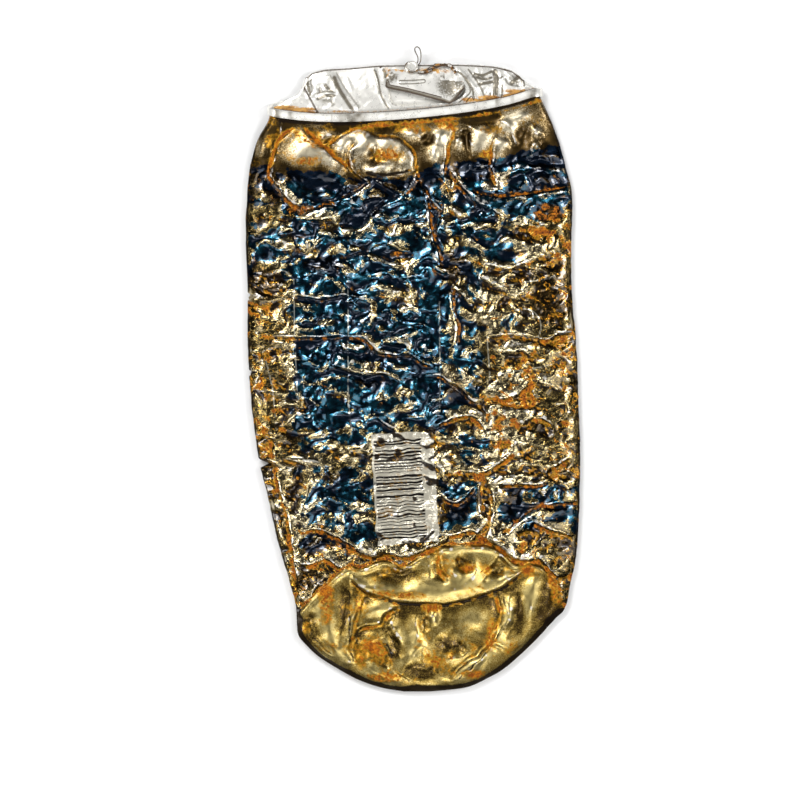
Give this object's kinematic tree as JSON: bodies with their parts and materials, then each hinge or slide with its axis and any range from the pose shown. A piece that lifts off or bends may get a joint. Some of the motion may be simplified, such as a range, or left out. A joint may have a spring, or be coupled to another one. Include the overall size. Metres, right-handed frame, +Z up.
{
  "type": "crushed drink can",
  "caption": "Drink can pressed flat: rusted, crumpled body with its base bent round to face the front, bright end in its seam, torn mouth flap and a stub of the pull tab.",
  "frame": {"origin": "centre of the bounding box on the surface that the can lies on", "axes": "+Y along the flattened can from its folded base to its end, +Z up out of the printed front, +X to the right as seen from above"},
  "size_m": [0.1052, 0.2024, 0.0057],
  "materials": {
    "body": "crumpled steel with gold and dark blue lacquer, orange rust in the creases",
    "end": "bright, scuffed, with rust stains from the body at the seam",
    "tab": "bright, worn"
  },
  "bodies": {
    "root": {"can_body": "body", "can_end": "end", "tab_stub": "tab"}
  },
  "joints": []
}
